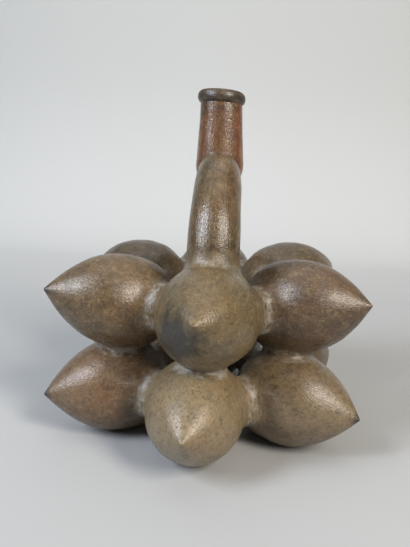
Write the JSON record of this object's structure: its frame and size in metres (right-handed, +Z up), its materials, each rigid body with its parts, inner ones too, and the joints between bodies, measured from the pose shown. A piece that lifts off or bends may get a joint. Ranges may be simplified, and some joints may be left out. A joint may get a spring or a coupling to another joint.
{
  "type": "stirrup-spout bottle",
  "caption": "Fired-clay bottle of pointed hollow pods in two joined rings, with an arched stirrup handle tube that carries a single upright lipped spout.",
  "frame": {"origin": "middle of the vessel's box, on the floor it stands on", "axes": "+Z up along the spout, -Y towards the front pod, +X to the right as seen from the front"},
  "size_m": [0.1688, 0.1954, 0.1909],
  "materials": {
    "pod_clay": "burnished brown earthenware, smoke-clouded",
    "stirrup_clay": "burnished brown earthenware with upright strokes",
    "luting_clay": "smoothed matt earthenware with pale deposit",
    "spout_clay": "burnished reddish earthenware",
    "lip_clay": "blackened worn earthenware"
  },
  "bodies": {
    "root": {"upper_front_pod": "pod_clay", "upper_front_left_pod": "pod_clay", "upper_back_left_pod": "pod_clay", "upper_back_pod": "pod_clay", "upper_back_right_pod": "pod_clay", "upper_front_right_pod": "pod_clay", "lower_front_pod": "pod_clay", "lower_front_left_pod": "pod_clay", "lower_back_left_pod": "pod_clay", "lower_back_pod": "pod_clay", "lower_back_right_pod": "pod_clay", "lower_front_right_pod": "pod_clay", "upper_luting_front_to_front_left": "luting_clay", "upper_luting_front_left_to_back_left": "luting_clay", "upper_luting_back_left_to_back": "luting_clay", "upper_luting_back_to_back_right": "luting_clay", "upper_luting_back_right_to_front_right": "luting_clay", "upper_luting_front_right_to_front": "luting_clay", "lower_luting_front_to_front_left": "luting_clay", "lower_luting_front_left_to_back_left": "luting_clay", "lower_luting_back_left_to_back": "luting_clay", "lower_luting_back_to_back_right": "luting_clay", "lower_luting_back_right_to_front_right": "luting_clay", "lower_luting_front_right_to_front": "luting_clay", "tier_luting_front": "luting_clay", "tier_luting_front_left": "luting_clay", "tier_luting_back_left": "luting_clay", "tier_luting_back": "luting_clay", "tier_luting_back_right": "luting_clay", "tier_luting_front_right": "luting_clay", "stirrup_front_leg": "stirrup_clay", "stirrup_back_leg": "stirrup_clay", "stirrup_front_luting": "luting_clay", "stirrup_back_luting": "luting_clay", "spout": "spout_clay", "spout_lip": "lip_clay"}
  },
  "joints": []
}
